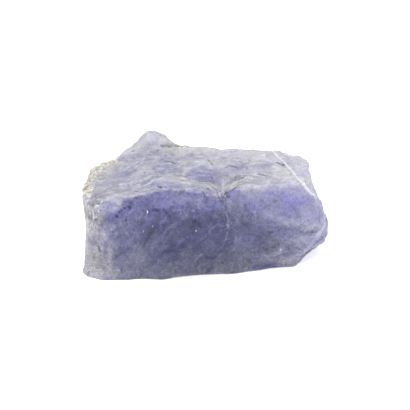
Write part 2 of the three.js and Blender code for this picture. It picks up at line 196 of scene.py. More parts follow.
TOP_PATCHES = (
    (0, -0.9, 11.2, 2.7, 1.2, 3, 0.75, "blue_lens"), (0.4, -2.3, 10.9, 2.5, 1.2, 3, 0.95, "blue_lens"),
    (4.3, -0.5, 11.4, 1.9, 1.1, 3, 0.5, "blue_lens"), (-3.8, 2.4, 11.9, 2.4, 1.3, 3, 0.65, "blue_lens"),
    (8.6, -0.4, 11.4, 1.3, 1, 3, 0.3, "violet_bevel"), (-2.7, 3.6, 11.9, 1.6, 1, 3, 0.35, "blue_lens"),
    (7.6, 1.5, 11.4, 1.8, 1.2, 3, 0.5, "pale_fibres"), (-5.4, 0, 12.3, 3, 2.4, 3, 0.3, "blue_lens"),
    (-8.4, -0.6, 11.7, 1.8, 0.9, 3, 0.5, "pale_fibres"), (-0.7, 1.2, 12, 1.5, 1.1, 3, 0.45, "pale_fibres"),
    (-1.6, -1.9, 11.4, 1.8, 0.9, 3, 0.55, "blue_lens"), (9.6, -3.3, 11.3, 1.9, 1.3, 3, 0.6, "pale_fibres"),
    (-0.2, -3.2, 10.9, 1.6, 0.7, 3, 0.32, "warm_foot"),
    (10.6, -5.7, 10.8, 2.4, 0.8, 1.5, 0.6, "pale_fibres"),
    (-5.8, -5.6, 12.2, 2.8, 1.4, 3, 0.5, "violet_bevel"), (-10, 0.3, 11.5, 2, 1, 3, 0.45, "blue_lens"),
    (-13.4, 1.2, 11, 2.6, 2, 3, 0.35, "cream_vein"), (-11.2, 3.2, 11.1, 2.4, 1.2, 3, 0.3, "cream_vein"),
    (5.1, -6.1, 11.4, 1.9, 0.9, 1.5, 0.75, "pale_fibres"), (4.8, -2.7, 11.5, 2, 1.3, 3, 0.25, "warm_foot"),
    (1.4, 3.3, 11.7, 1.9, 1.4, 3, 0.6, "frosted_top"), (6.1, -2.1, 11.4, 1.8, 0.9, 3, 0.5, "frosted_top"),
    (-0.6, -4.4, 11.4, 1.4, 0.6, 3, 0.4, "warm_foot"), (1.9, -1.3, 10.9, 1.4, 0.8, 3, 0.4, "blue_lens"),
    (-2.1, -6.8, 11.8, 1.9, 1.1, 1.5, 0.55, "violet_bevel"),
    (-13.2, -3, 10.9, 2.6, 3.6, 3, 0.6, "frosted_top"), (-13, -3.8, 10.9, 2.8, 3.6, 3, 0.3, "sugar_end"),
    (-12.8, -4.4, 10.9, 2.2, 2.2, 3, 0.25, "warm_foot"), (-12.6, 0.6, 11, 1.8, 1.4, 3, 0.2, "warm_foot"),
    (-12.2, -6.3, 10.6, 1.6, 0.9, 1.5, 0.35, "violet_haze"),
    (-9.5, 4.4, 11.5, 3, 1.6, 3, 0.5, "frosted_top"), (-5.6, 4.9, 12.5, 2.2, 1.1, 3, 0.45, "frosted_top"),
    (-3.2, 3.8, 11.8, 1.8, 1.6, 3, 0.5, "frosted_top"), (2, 0.9, 11.6, 3.2, 1.3, 3, 0.5, "pale_fibres"),
    (3, -3.4, 10.5, 1.4, 1, 1.5, 0.6, "cream_vein"),
)

# Fresh chips that catch the light: middle and half sizes.
GLINTS = (
    ((-8.5, -7.8, 9.7), (0.09, 2, 0.26)), ((-2.4, -8.4, 6.8), (0.075, 2, 0.1)),
    ((8.75, -7.7, 2.7), (0.11, 2, 0.24)), ((-0.6, -3, 11.4), (0.1, 0.15, 1)),
)
# Pale spots at the notch: middle and half sizes.
NOTCH_SPOTS = (((0.4, -6.8, 10.9), (0.7, 1, 0.2)), ((1.05, -6.5, 10.7), (0.25, 1, 0.25)))
# Where the body is drawn in or swells: middle, half sizes and move in metres.
SWELLS = (
    ((15.9, -5.2, 3.6), (2.2, 3.4, 1.8), (-0.00035, 0, 0)),
    ((12.4, -7.4, 0.9), (2.6, 2.6, 1.6), (-0.0003, 0.00045, 0)),
    ((14.4, -6.4, 2.2), (1.6, 2.6, 1), (0.0004, -0.0002, 0)),
    ((15.2, -5.2, 7), (1.8, 2.8, 1.7), (0.0003, 0, 0)),
    ((-12.8, 4.2, 10.8), (2.2, 2.4, 2), (-0.0003, 0.0003, 0.0002)),
)
# Shaded hollows on the left end: middle and half sizes.
END_SHADES = (
    ((-14.8, -4.5, 10.5), (1.5, 2.2, 1)), ((-14.5, -6.3, 8.5), (1.4, 3, 1.2)),
    ((-14.8, -6.4, 2.8), (1.6, 3, 2.2)), ((-15, -6.2, 5.3), (1, 3, 1.1)),
)
# Dark specks: middle, radius and share.
SPECKS = (
    ((-10.65, -6.9, 10.2), 0.33, 0.8), ((-12.35, -7.3, 9.25), 0.32, 0.8), ((-12, -7.25, 9.75), 0.22, 0.7),
    ((-11.7, -7.2, 9.95), 0.2, 0.7), ((-11.3, -7.1, 10.1), 0.18, 0.6), ((-11.2, -7.6, 8.75), 0.28, 0.7),
    ((-2.6, -8.7, 8.3), 0.4, 0.9), ((-3, -8.5, 7.5), 0.32, 0.9), ((-2.1, -8.7, 7.9), 0.3, 0.7),
    ((10.5, -8, 7.2), 0.24, 0.35), ((9.8, -8.05, 7.4), 0.18, 0.3), ((11.2, -7.9, 7.35), 0.18, 0.3),
    ((12.3, -8.1, 5.4), 0.25, 0.3), ((12.8, -8.1, 5.1), 0.28, 0.4), ((13.4, -8, 4.95), 0.25, 0.35),
    ((12.6, -8.1, 4.7), 0.22, 0.3), ((7.6, -7.6, 5.4), 0.3, 0.5), ((7.1, -7.6, 5), 0.28, 0.5),
    ((4, -7.9, 9.7), 0.3, 0.4), ((1.9, -6.4, 10.6), 0.25, 0.5), ((1.5, -7.6, 9.6), 0.2, 0.5),
)
# Duller glints: middle and half sizes.
SOFT_GLINTS = (
    ((-15.2, -6.4, 1.4), (0.35, 1.5, 0.2)), ((-14.6, -6.8, 1.5), (0.3, 1.5, 0.16)),
    ((-12.3, -7.3, 1.5), (0.25, 1.5, 0.16)), ((-14.3, -6.8, 4.5), (0.25, 1.5, 0.12)),
    ((1.1, 0.3, 11.5), (0.35, 0.4, 1)), ((-9.1, -8.1, 7.2), (0.13, 2, 0.3)),
    ((-7.9, -8.2, 7.9), (0.14, 2, 0.16)), ((-13.8, -7.3, 5.9), (0.15, 1.5, 0.2)),
    ((-2.4, -7.9, 3), (0.09, 2, 0.1)),
)

# How far back the front edge of the top lies, left to right.
TOP_BORDER = (
    (-17, -5.2), (-15, -5.5), (-13.8, -5.8), (-12.9, -6.15), (-12, -6.35), (-11.3, -6.3), (-10.4, -6.2),
    (-8.2, -6.25), (-7.4, -6.3), (-5.6, -6.4), (-4.4, -6.6), (-2.8, -7), (-1.1, -7.1), (0.2, -6.9),
    (1.2, -6.7), (2.3, -5.8), (3.5, -7), (4.4, -6.9), (5.2, -6.85), (6.4, -6.65), (7.8, -6.35),
    (9.1, -6.25), (10.4, -6.15), (11.5, -6.15), (12.6, -6.1), (17, -6),
)

# Heights, left to right, of the lower limit of the violet band and of the upper limit of the grey heart.
BAND_LIMIT = (
    (-17, 7.4), (-14, 8.4), (-12.5, 9), (-10.9, 9.4), (-8.9, 9.6), (-7.5, 9.9), (-4.5, 10.1), (-1, 9.9),
    (1.5, 9.9), (4, 9), (6.5, 7.9), (10, 6.9), (14, 6), (17, 5.6),
)
HEART_LIMIT = (
    (-17, 5), (-13, 6.6), (-10.6, 7.7), (-8, 8.6), (-6, 9.7), (-2, 9.6), (2, 9.3), (4, 8.8), (5.5, 7.2),
    (9, 6), (12, 5.6), (17, 5),
)


class Wire:
    """A node's output that can be reckoned with as a number is: each operator adds its Math node."""

    def __init__(self, tree, socket):
        self.tree = tree
        self.socket = socket

    def add(self, kind, settings=None, inputs=None, output=0):
        """Adds a node of that type, sets it up, fills its inputs with wires or values, gives an output."""
        node = self.tree.nodes.new(kind)
        for name, value in (settings or {}).items():
            if name == "curve":
                points = node.mapping.curves[0].points
                while len(points) < len(value):
                    points.new(0.5, 0.5)
                for point, at in zip(points, value):
                    point.location = at
                node.mapping.update()
            else:
                setattr(node, name, value)
        for key, value in (inputs or {}).items():
            socket = node.inputs[key]
            if isinstance(value, Wire):
                self.tree.links.new(value.socket, socket)
            elif socket.type == "VECTOR" and isinstance(value, (int, float)):
                socket.default_value = (value, value, value)
            elif socket.type == "RGBA":
                socket.default_value = (*value[:3], 1)
            else:
                socket.default_value = value
        return Wire(self.tree, node.outputs[output])

    def is_wide(self, other):
        """Whether a sum with the other one is about vectors, which a Math node would flatten."""
        return self.socket.type == "VECTOR" or isinstance(other, (tuple, Vector)) or (
            isinstance(other, Wire) and other.socket.type == "VECTOR")

    def reckon(self, operation, first, second, wide):
        """One step of the reckoning, between numbers or between vectors."""
        kind = "ShaderNodeVectorMath" if wide else "ShaderNodeMath"
        return self.add(kind, {"operation": operation}, {0: first, 1: second})

    def __add__(self, other):
        return self.reckon("ADD", self, other, self.is_wide(other))

    __radd__ = __add__

    def __sub__(self, other):
        return self.reckon("SUBTRACT", self, other, self.is_wide(other))

    def __rsub__(self, other):
        return self.reckon("SUBTRACT", other, self, self.is_wide(other))

    def __mul__(self, other):
        return self.reckon("MULTIPLY", self, other, self.is_wide(other))

    __rmul__ = __mul__

    def __truediv__(self, other):
        return self.reckon("DIVIDE", self, other, self.is_wide(other))

    def math(self, operation, other=0):
        return self.add("ShaderNodeMath", {"operation": operation}, {0: self, 1: other})

    def measure(self, operation, other=(0, 0, 0)):
        """A number from vectors, such as their dot product or distance."""
        return self.add("ShaderNodeVectorMath", {"operation": operation}, {0: self, 1: other}, "Value")

    def rise(self, low, high):
        """0 at low and 1 at high, with a soft start and end, which need no clamp of their own."""
        settings = {"interpolation_type": "SMOOTHSTEP", "clamp": False}
        return self.add("ShaderNodeMapRange", settings, {0: self, 1: low, 2: high})

    def part(self, axis):
        return self.add("ShaderNodeSeparateXYZ", None, {0: self}, axis)

    def tint(self, base, colour):
        """The base, changed to the colour as far as this mask says."""
        return self.add("ShaderNodeMix", {"data_type": "RGBA"}, {0: self, 6: base, 7: colour}, 2)


def clouds(place, size, detail=2, rough=0.5, seed=0, stretch=(1, 1, 1), output=0):
    """Soft noise from 0 to 1 with lumps of about that many millimetres."""
    where = place * tuple(s / size for s in stretch) + (seed, seed * 0.7, seed * 1.3)
    return place.add("ShaderNodeTexNoise", None,
                     {"Vector": where, "Scale": 1, "Detail": detail, "Roughness": rough}, output)


def cells(place, size, feature="F1", seed=0, stretch=(1, 1, 1), output=0):
    """Distances in a scatter of points about that many millimetres apart."""
    where = place * tuple(s / size for s in stretch) + (seed, seed * 1.7, seed * 0.6)
    return place.add("ShaderNodeTexVoronoi", {"feature": feature}, {"Vector": where, "Scale": 1}, output)


def reach(place, stone, *runs):
    """How far a place is from the smooth curves laid on the stone through the corners."""
    joined = place.add("GeometryNodeJoinGeometry")
    for run in runs:
        bends = [Vector(corner) for corner in run]
        spans = zip([bends[0]] + bends, bends, bends[1:], bends[2:] + [bends[-1]])
        for before, start, end, after in spans:
            bow = place.add("GeometryNodeCurvePrimitiveBezierSegment", {"mode": "POSITION"}, {
                "Resolution": 6, "Start": start, "Start Handle": start + (end - before) / 6,
                "End Handle": end - (after - start) / 6, "End": end})
            place.tree.links.new(bow.socket, joined.socket.node.inputs[0])
    wire = place.add("GeometryNodeCurveToMesh", None, {"Curve": joined})
    spot = place.add("GeometryNodeInputPosition") * MM
    laid = place.add("GeometryNodeProximity", {"target_element": "FACES"},
                     {0: stone, "Sample Position": spot}, "Position")
    wire = place.add("GeometryNodeSetPosition", None, {"Geometry": wire, "Position": laid * (1 / MM)})
    return place.add("GeometryNodeProximity", {"target_element": "EDGES"},
                     {0: wire, "Sample Position": place}, "Distance")


def level(across, corners):
    """The height of a drawn line over the stone's length."""
    left, right = corners[0][0], corners[-1][0]
    low, high = min(y for _, y in corners), max(y for _, y in corners)
    curve = [((x - left) / (right - left), (y - low) / (high - low)) for x, y in corners]
    share = across.add("ShaderNodeMapRange", {"clamp": False}, {0: across, 1: left, 2: right})
    return share.add("ShaderNodeFloatCurve", {"curve": curve}, {"Value": share}) * (high - low) + low


def turned(place, degrees):
    """The place turned about the depth axis: what is stretched lengthwise climbs by that many degrees."""
    return place.add("ShaderNodeVectorRotate", {"rotation_type": "Y_AXIS"},
                     {"Vector": place, "Angle": math.radians(degrees)})


def patch(place, centre, radii, wobble, turn=0):
    """1 in the middle of an egg-shaped patch, falling to 0 at its ragged edge."""
    from_centre = place - centre
    if turn:
        from_centre = turned(from_centre, turn)
    return ((from_centre * tuple(1 / r for r in radii)).measure("LENGTH") + wobble).rise(1, 0.35)


LENGTH = {"subtype": "DISTANCE", "unit": "LENGTH"}


def amount(name, description, default, **limits):
    """A number that can be set in the panel."""
    return bpy.props.FloatProperty(name=name, description=description, default=default, **limits)


def relief_size(name, description, default, most=0.0006):
    """A size of the stone's surface, in metres."""
    return amount(name, description, default, min=0.0, max=most, precision=5, **LENGTH)


def paint(name, description, default):
    """A colour that can be set in the panel."""
    return bpy.props.FloatVectorProperty(name=name, description=description, default=default, min=0.0,
                                         max=1.0, subtype="COLOR")


class StoneSettings(bpy.types.PropertyGroup):
    """Sizes and colours of the stone."""

    fibre_height: relief_size("Fibre Height", "Height of the fibrous sheets on top", 0.00022)
    chip_height: relief_size("Chip Height", "Depth of the shallow chips on the broken faces", 0.00022)
    sugar_height: relief_size("Sugar Height", "Height of the grains on the left end", 0.00022)
    crust_height: relief_size("Crust Height", "Height of the lumps in the host rock's crust", 0.0003)
    seam_depth: relief_size("Seam Depth", "Depth of the slit at the notch, the scarp and the crack", 0.00022)
    worn_below: relief_size("Worn Below", "Edges under this height are worn round", 0.0085, 0.014)
    edge_sharpness: amount("Edge Sharpness", "How much the broken edges hold when the faces are smoothed",
                           0.4, min=0.0, max=1.0, subtype="FACTOR")

    frosted_top: paint("Frosted Top", "Grey lavender of the fibrous top", (0.245, 0.243, 0.31))
    pale_top: paint("Pale Top", "Paler clouds in the fibrous top", (0.335, 0.332, 0.385))
    # Pale fibres: also the colour of painted highlights, on the crests of the relief and in the duller
    # glints.
    pale_fibres: paint("Pale Fibres", "Crests of the fibres and the frosted back", (0.455, 0.451, 0.492))
    # White edge: also the colour of painted highlights, the glints and bright flecks on chips.
    white_edge_and_highlight: paint("White Edge", "Sharp ridge, rim and glints", (0.78, 0.78, 0.8))
    blue_lens: paint("Blue Lens", "Clearer blue spots in the top", (0.15, 0.15, 0.27))
    cream_vein: paint("Cream Vein", "Veins of host rock across the top", (0.42, 0.41, 0.375))
    # Violet band: the stone's violet, painted brighter where light from the top glows through the front.
    violet_band: paint("Violet Band", "Clear violet along the upper edge of the front", (0.11, 0.11, 0.245))
    deep_violet: paint("Deep Violet", "Darkest part of the violet band", (0.085, 0.085, 0.215))
    violet_bevel: paint("Violet Bevel", "Milky violet right of the notch", (0.19, 0.188, 0.33))
    violet_spot: paint("Violet Spot", "Deepest violet, on the right of the front", (0.18, 0.175, 0.4))
    grey_heart: paint("Grey Heart", "Dark heart of the front", (0.036, 0.037, 0.116))
    warm_foot: paint("Warm Foot", "Grey brown near the foot", (0.098, 0.098, 0.14))
    dull_flank: paint("Dull Flank", "Duller violet of the front near its ends", (0.165, 0.164, 0.265))
    milky_end: paint("Milky End", "Pale violet of the right end and the back", (0.372, 0.369, 0.5))
    sugar_end: paint("Sugary End", "Grey beige of the rough left end", (0.38, 0.368, 0.362))
    crust: paint("Crust", "Cream of the host rock on the left shoulder", (0.5, 0.478, 0.405))
    crust_stain: paint("Crust Stain", "Brown grains in the crust", (0.24, 0.21, 0.16))
    violet_haze: paint("Violet Haze", "Milky violet at the left of the band", (0.26, 0.255, 0.38))
    ink: paint("Ink", "Darkest clear places in the heart", (0.003, 0.003, 0.04))
    slit_shade: paint("Slit Shade", "Dark bottom of the cracks", (0.012, 0.012, 0.022))


class StudioSettings(bpy.types.PropertyGroup):
    """Camera, lights and floor."""

    view_width: amount("View Width", "Width of the picture at the stone", 0.0536, min=0.01, **LENGTH)
    view_distance: amount("View Distance", "From the camera to the stone", 0.26, min=0.05, **LENGTH)
    view_turn: amount("View Turn", "Camera's turn round the stone", math.radians(-10.0), subtype="ANGLE")
    view_height: amount("View Height", "Camera's angle above the floor", math.radians(27.0),
                        subtype="ANGLE")
    view_target: bpy.props.FloatVectorProperty(
        name="View Target", description="What the camera looks at", default=(0.00023, 0.00007, 0.00604),
        subtype="XYZ", unit="LENGTH")
    ceiling_power: amount("Ceiling Power", "Light from the softbox overhead, in watts", 1.75, min=0.0)
    side_power: amount("Side Power", "Light from the panel at the left, in watts", 0.25, min=0.0)
    surround: amount("Surround", "Brightness of the white surround", 0.55, min=0.0)
    floor_glow: amount("Floor Glow", "Light that the paper floor gives from below", 0.6, min=0.0)
    floor_colour: paint("Floor Colour", "Colour of the paper floor", (0.93, 0.93, 0.935))


def fill(node, values):
    """Puts values into a node's inputs."""
    for name, value in values.items():
        node.inputs[name].default_value = value


def relief_nodes(settings):
    """Node tree that raises the stone's fine relief and keeps the measures its finish is painted by."""
    tree = bpy.data.node_groups.new("stone_relief", "GeometryNodeTree")
    tree.interface.new_socket("Stone", in_out="INPUT", socket_type="NodeSocketGeometry")
    tree.interface.new_socket("Stone", in_out="OUTPUT", socket_type="NodeSocketGeometry")
    stone = Wire(tree, tree.nodes.new("NodeGroupInput").outputs[0])
    spot = stone.add("GeometryNodeInputPosition")
    place = spot * (1 / MM)
    facing = stone.add("GeometryNodeInputNormal")
    across, deep, height = (place.part(axis) for axis in "XYZ")

    # The corner at the left front and the right tip are worn round, and the tip is drawn in under its nose.
    worn = across.rise(-10.5, -13) * height.rise(10.6, 9.2)
    worn = worn.math("MAXIMUM", across.rise(11.2, 13.6) * height.rise(8.8, 7)) * height.rise(0.3, 1.6)
    eased = stone.add("GeometryNodeBlurAttribute", {"data_type": "FLOAT_VECTOR"},
                      {"Value": spot, "Iterations": EASE_STEPS})
    shift = (eased - spot) * worn
    for centre, radii, move in SWELLS:
        shift = shift + patch(place, centre, radii, 0) * move
    stone = stone.add("GeometryNodeSetPosition", None, {"Geometry": stone, "Offset": shift})

    slope = stone.add("GeometryNodeBlurAttribute", {"data_type": "FLOAT"},
                      {"Value": facing.part("Z"), "Iterations": SLOPE_STEPS})
    drift = clouds(place, 2.4, output=1) - (0.5, 0.5, 0.5)
    adrift = place + drift * 0.9
    tremor = clouds(place, 0.7, seed=17, output=1) - (0.5, 0.5, 0.5)
    shiver = place + drift * 0.5 + tremor * 0.5
    behind = deep - level(across, TOP_BORDER)
    border = 0.22 + across.rise(2.5, 6) * 0.6 + across.rise(-10.5, -12.5) * 0.35
    top = ((behind + clouds(place, 1.2, detail=3, seed=12) * 0.8 - 0.4) / border).rise(-1, 1)
    top = top * slope.rise(0.12, 0.42) * height.rise(7.5, 9.5)
    grown = clouds(place, 1.3, detail=4, rough=0.6, seed=13).rise(0.3, 0.7) - 0.5
    end = (across + grown * 2.4 - height.rise(8.2, 6.2) * 0.8).rise(-13, -16.4) * (1 - top)
    crust = reach(place + drift * 0.3, stone, CRUST_LINE)
    crust = crust + clouds(place, 0.8, detail=3, seed=3).rise(0.3, 0.7) * 0.7
    crust = crust.rise(2.2, 0.9) * height.rise(8.4, 9.8) * (deep + grown).rise(-5, -3.2)

    # Fibrous sheets that lie along the stone, each with a gentle back and a steep front.
    wander = clouds(place, 5, detail=3, rough=0.55, seed=9, stretch=(0.6, 1, 1)) * 5
    sheets = (deep * 1.1 + height * 0.6 + wander).math("FRACT")
    strands = clouds(adrift, 0.75, detail=4, rough=0.65, seed=5, stretch=(0.36, 1.3, 1.2)) * 2.4
    patchy = clouds(place, 3.4, detail=1, seed=21).rise(0.35, 0.6)
    calm = patch(place, (2.2, -4.6, 10.6), (2.6, 3.4, 3), 0)
    fibres = sheets * patchy * 0.6 + strands + clouds(place, 0.5, detail=3, rough=0.6, seed=7) * 1.1 - 2

    # Shallow shell-shaped chips on the broken faces.
    chips = ((cells(adrift, 2.6, "SMOOTH_F1", seed=2) - 0.45)
             + (cells(adrift, 1.1, "SMOOTH_F1", seed=11) - 0.45) * 0.5
             + (clouds(adrift, 1.6, detail=4, rough=0.6, seed=19) - 0.5) * 1.8
             + (clouds(adrift, 0.6, seed=23) - 0.5) * 0.6)
    grains = (cells(place, 0.62, seed=4) - 0.45) * -0.9 + clouds(place, 1.5, detail=3, seed=6) - 0.5
    lumps = (cells(place, 0.85, seed=14) - 0.4) * -1.1 + clouds(place, 2, seed=16) - 0.5
    fine = clouds(place, 0.42, rough=0.6, seed=8) - 0.5

    # Ledges and shell-shaped hollows on the back and the right end.
    rear = (deep + across.rise(11, 16) * 5 + grown * 2).rise(-2, 2.5) * (1 - top)
    steps = (height * 0.4 + across * 0.05 + clouds(place, 7, seed=33) * 2.4).math("FRACT")
    ledges = steps * (1 - steps.rise(0.78, 1)) - 0.35
    ledges = ledges * clouds(place, 4, seed=35).rise(0.4, 0.62)
    hollows = cells(adrift, 4.2, "SMOOTH_F1", seed=27, stretch=(0.7, 1, 1)) - 0.45

    scarp, slit = reach(adrift, stone, SCARP), reach(place + drift * 0.15, stone, NOTCH_SLIT)
    crack = reach(shiver, stone, FRONT_CRACK)
    ridge = reach(place + drift * 0.2, stone, WHITE_RIDGE)
    seams = slit.rise(0.3, 0.06) * 0.5 + scarp.rise(0.35, 0.05) * 0.5 + crack.rise(0.2, 0.04) * 0.25
    plain, bare = (1 - top) * (1 - end), 1 - crust
    raised = (fibres * (1 - calm * 0.6) * top * bare * (settings.fibre_height / MM)
              + chips * plain * bare * (settings.chip_height / MM)
              + grains * end * bare * (settings.sugar_height / MM)
              + lumps * crust * (settings.crust_height / MM)
              + (ledges * 0.45 + hollows * 0.55) * rear * bare
              + fine * 0.08 + ridge.rise(0.45, 0.1) * 0.06
              - seams * (settings.seam_depth / MM)) * height.rise(0.02, 0.9)

    kept = {
        "top_share": top, "crust_share": crust, "end_share": end, "raised": raised, "front_rim": behind,
        "white_ridge": ridge, "slit": slit, "scarp": scarp, "crack": crack,
        "ridge_shade": reach(shiver + (0.42, 0, 0), stone, WHITE_RIDGE[2:8]),
        "ridge_stain": reach(shiver - (0.6, 0, 0), stone, WHITE_RIDGE[4:11]),
        "left_edge": reach(shiver, stone, LEFT_EDGE, LEFT_CORNER),
        "notch_rim": reach(shiver, stone, NOTCH_RIM),
        "cream_vein": reach(shiver + drift * 0.8, stone, CREAM_VEIN),
        "veil": reach(shiver + drift * 0.3, stone, VEIL, LOW_VEIL, HOOK_VEIL),
        "scratches": reach(shiver, stone, *SCRATCHES),
        "front_marks": reach(shiver, stone, *FRONT_MARKS), "top_marks": reach(shiver, stone, *TOP_MARKS),
    }
    for name, value in kept.items():
        stone = stone.add("GeometryNodeStoreNamedAttribute", {"data_type": "FLOAT", "domain": "POINT"},
                          {"Geometry": stone, "Name": name, "Value": value})
    stone = stone.add("GeometryNodeSetPosition", None, {"Geometry": stone, "Offset": facing * (raised * MM)})
    tree.links.new(stone.socket, tree.nodes.new("NodeGroupOutput").inputs[0])
    return tree


def mix_plain(first, second, share):
    """A plain colour between two others."""
    return tuple(a * (1 - share) + b * share for a, b in zip(first, second))


def stone_finish(hues):
    """Finish of the stone: frosted top, violet band, grey heart, milky and sugary ends, crust and marks."""
    material = bpy.data.materials.new("rough_tanzanite")
    material.use_nodes = True
    tree = material.node_tree
    shader = tree.nodes["Principled BSDF"]
    start = Wire(tree, shader.outputs[0])

    # No link here turns one type of value into another. The renderer puts such links off to the end, and
    # would run out of room for all the masks that wait for them.

    def kept(name):
        return start.add("ShaderNodeAttribute", {"attribute_name": name}, output="Fac")

    def shaded(colour, light):
        """The colour times a number."""
        return light.add("ShaderNodeMix", {"data_type": "RGBA", "clamp_factor": False},
                         {0: light, 6: (0, 0, 0), 7: colour}, 2)

    def channels(colour):
        """The three numbers that a colour is made of."""
        split = colour.add("ShaderNodeSeparateColor", None, {0: colour})
        return [Wire(tree, output) for output in split.socket.node.outputs]

    def painted(colour, patches):
        """The colour with each patch of a table laid over it in turn."""
        for x, y, z, wide, thick, high, share, name, *turn in patches:
            mask = patch(adrift, (x, y, z), (wide, thick, high), ragged * 0.9, *turn) * share
            colour = mask.tint(colour, getattr(hues, name))
        return colour

    place = start.add("ShaderNodeTexCoord", output="Object") * (1 / MM)
    across, deep, height = (place.part(axis) for axis in "XYZ")
    top, crust, end, raised = kept("top_share"), kept("crust_share"), kept("end_share"), kept("raised")

    # Noises that all the parts of the finish share.
    drift = channels(clouds(place, 2, seed=31, output=1))
    drift = start.add("ShaderNodeCombineXYZ", None, dict(enumerate(drift))) - (0.5, 0.5, 0.5)
    adrift = place + drift * 1.2
    haze = clouds(place, 2.6, detail=3, rough=0.55, seed=40)
    mottle = clouds(adrift, 0.95, detail=4, rough=0.62, seed=44)
    speckle = clouds(place, 0.36, detail=3, rough=0.7, seed=48)
    strands = clouds(adrift, 0.8, detail=4, rough=0.65, seed=52, stretch=(0.42, 1.2, 1.1))
    ragged = (haze - 0.5) * 0.8 + (mottle - 0.5) * 0.7
    climbing = clouds(turned(adrift, 55), 0.6, detail=4, rough=0.62, seed=57, stretch=(0.6, 1, 1.2))
    falling = clouds(turned(adrift, -28), 0.6, detail=4, rough=0.62, seed=59, stretch=(0.5, 1, 1.3))
    arching = (across + ragged * 5).rise(0, 7)
    streaks = climbing + (falling - climbing) * arching
    combed = clouds(adrift, 0.6, detail=3, rough=0.65, seed=64, stretch=(1.4, 1.4, 0.5))
    streaks = streaks + (combed - streaks) * (across + ragged * 4).rise(-6, -12) * 0.7
    rising = clouds(turned(adrift, 42), 1.5, detail=3, rough=0.55, seed=61, stretch=(0.42, 1, 1.2))
    sinking = clouds(turned(adrift, -22), 1.5, detail=3, rough=0.55, seed=62, stretch=(0.42, 1, 1.2))
    sweep = (rising + (sinking - rising) * arching).rise(0.32, 0.68)
    tooth = clouds(place, 0.17, rough=0.6, seed=90)
    blotch, fleck, grit, dust = (n.rise(0.3, 0.7) for n in (mottle, streaks, speckle, tooth))
    scored = combed.rise(0.32, 0.68)
    over_band = (height - level(across, BAND_LIMIT) + ragged * 1.6).rise(-0.7, 0.6)
    right_side = (across + ragged).rise(0.9, 4)
    bevel = right_side * over_band

    def rear_colour():
        """The back and the right end: pale, with milky, violet and cream clouds."""
        rear = haze.rise(0.38, 0.6).tint(hues.frosted_top, hues.milky_end)
        wisps = clouds(place, 3.6, detail=3, seed=77).rise(0.5, 0.66)
        rear = (wisps * 0.7).tint(rear, hues.violet_bevel)
        rear = (strands.rise(0.5, 0.7) * 0.45).tint(rear, hues.pale_fibres)
        return (mottle.rise(0.56, 0.7) * haze.rise(0.5, 0.4) * 0.5).tint(rear, hues.cream_vein)

    def front_colour():
        """The broken front: heart, foot, flanks, violet band and bevel."""
        over_heart = (height - level(across, HEART_LIMIT) + ragged * 2).rise(-1.6, 1.2)
        flank_left = (across + ragged * 4).rise(-6.5, -13)
        flank_right = (across + ragged * 4).rise(3, 11.5)
        foot = (height + ragged * 2.5).rise(4.5, 0.5)
        milky = (across + ragged * 3).rise(12.5, 16)
        front = foot.tint(hues.grey_heart, hues.warm_foot)
        front = (flank_left * 0.6).tint(front, hues.dull_flank)
        front = (flank_right * 0.95).tint(front, hues.dull_flank)
        # Painted light: the violet band along the upper edge is the stone's own violet, painted brighter
        # where light from the top glows through.
        front = (over_heart * 0.5).tint(front, hues.violet_band)
        front = over_band.tint(front, right_side.tint(hues.violet_band, hues.violet_bevel))
        # The right end is painted lighter: milky stone, and partly a painted glow of light through the thin
        # end.
        front = (milky * 0.35).tint(front, hues.milky_end)
        front = (haze.rise(0.52, 0.66) * height.rise(6.5, 3) * 0.4).tint(front, hues.warm_foot)
        front = painted(front, FRONT_PATCHES)
        back = deep + across.rise(13, 16.5) * height.rise(3.5, 6.5) * 3 + ragged * 3
        back = back.rise(-4.5, 1)
        front = (back * 0.9).tint(front, rear_colour())
        frost = (fleck * 0.45 + sweep * 0.4 + grit * 0.15).rise(0.55, 0.9)
        front = (frost * (0.3 - over_band * 0.05)).tint(front, hues.dull_flank)
        clear = (fleck * 0.5 + sweep * 0.5).rise(0.45, 0.1) * (0.44 - back * 0.3)
        clear = clear * (1 - over_band * 0.2) * (1 - right_side * 0.5)
        front = clear.tint(front, hues.grey_heart)
        coarse = (blotch * 0.16 + fleck * 0.3 + sweep * 0.14 - 0.3) * (1 - over_band * 0.3 - bevel * 0.2)
        finest = (grit * 0.38 + dust * 0.44 - 0.41) * (1 - over_band * 0.05 - bevel * 0.2)
        return shaded(front, 1 + coarse + finest)

    def top_colour():
        """The frosted top, with pale strands, blue spots and cream veins."""
        upper = haze.rise(0.4, 0.6).tint(hues.frosted_top, hues.pale_top)
        upper = (mottle.rise(0.55, 0.4) * 0.15).tint(upper, hues.blue_lens)
        upper = (strands.rise(0.48, 0.68) * 0.25).tint(upper, hues.pale_fibres)
        behind = deep + across.rise(-1, 5) * 2.5 - 2.5 + ragged * 3
        upper = (behind.rise(0.5, 4) * 0.6).tint(upper, hues.pale_fibres)
        upper = ((across + ragged * 3).rise(4.5, 10.5) * 0.4).tint(upper, hues.pale_fibres)
        upper = painted(upper, TOP_PATCHES)
        upper = (strands.rise(0.48, 0.68) * 0.3).tint(upper, hues.pale_fibres)
        vein = (kept("cream_vein") + ragged).rise(1.8, 0.2) * strands.rise(0.4, 0.6)
        upper = (vein * (0.25 + blotch * 0.5)).tint(upper, hues.cream_vein)
        crumbs = (kept("front_rim") + ragged).rise(1.3, 0.2) * across.rise(-7.5, -10) * blotch
        upper = (crumbs * 0.6).tint(upper, hues.pale_fibres)
        beyond_ridge = (across - deep * 0.2 + ragged).rise(11.2, 12)
        upper = (beyond_ridge * 0.7).tint(upper, mix_plain(hues.pale_fibres, hues.milky_end, 0.4))
        warmed = (deep + ragged * 2).rise(2.8, 5) * across.rise(-5.5, -3)
        upper = (warmed * 0.4).tint(upper, hues.cream_vein)
        worn = 1 - (deep + ragged * 2).rise(2.5, 6.5) * 0.4
        relief = grit * 0.24 + strands.rise(0.3, 0.7) * 0.25 + dust * 0.21 - 0.325
        return shaded(upper, 1 + relief * worn)

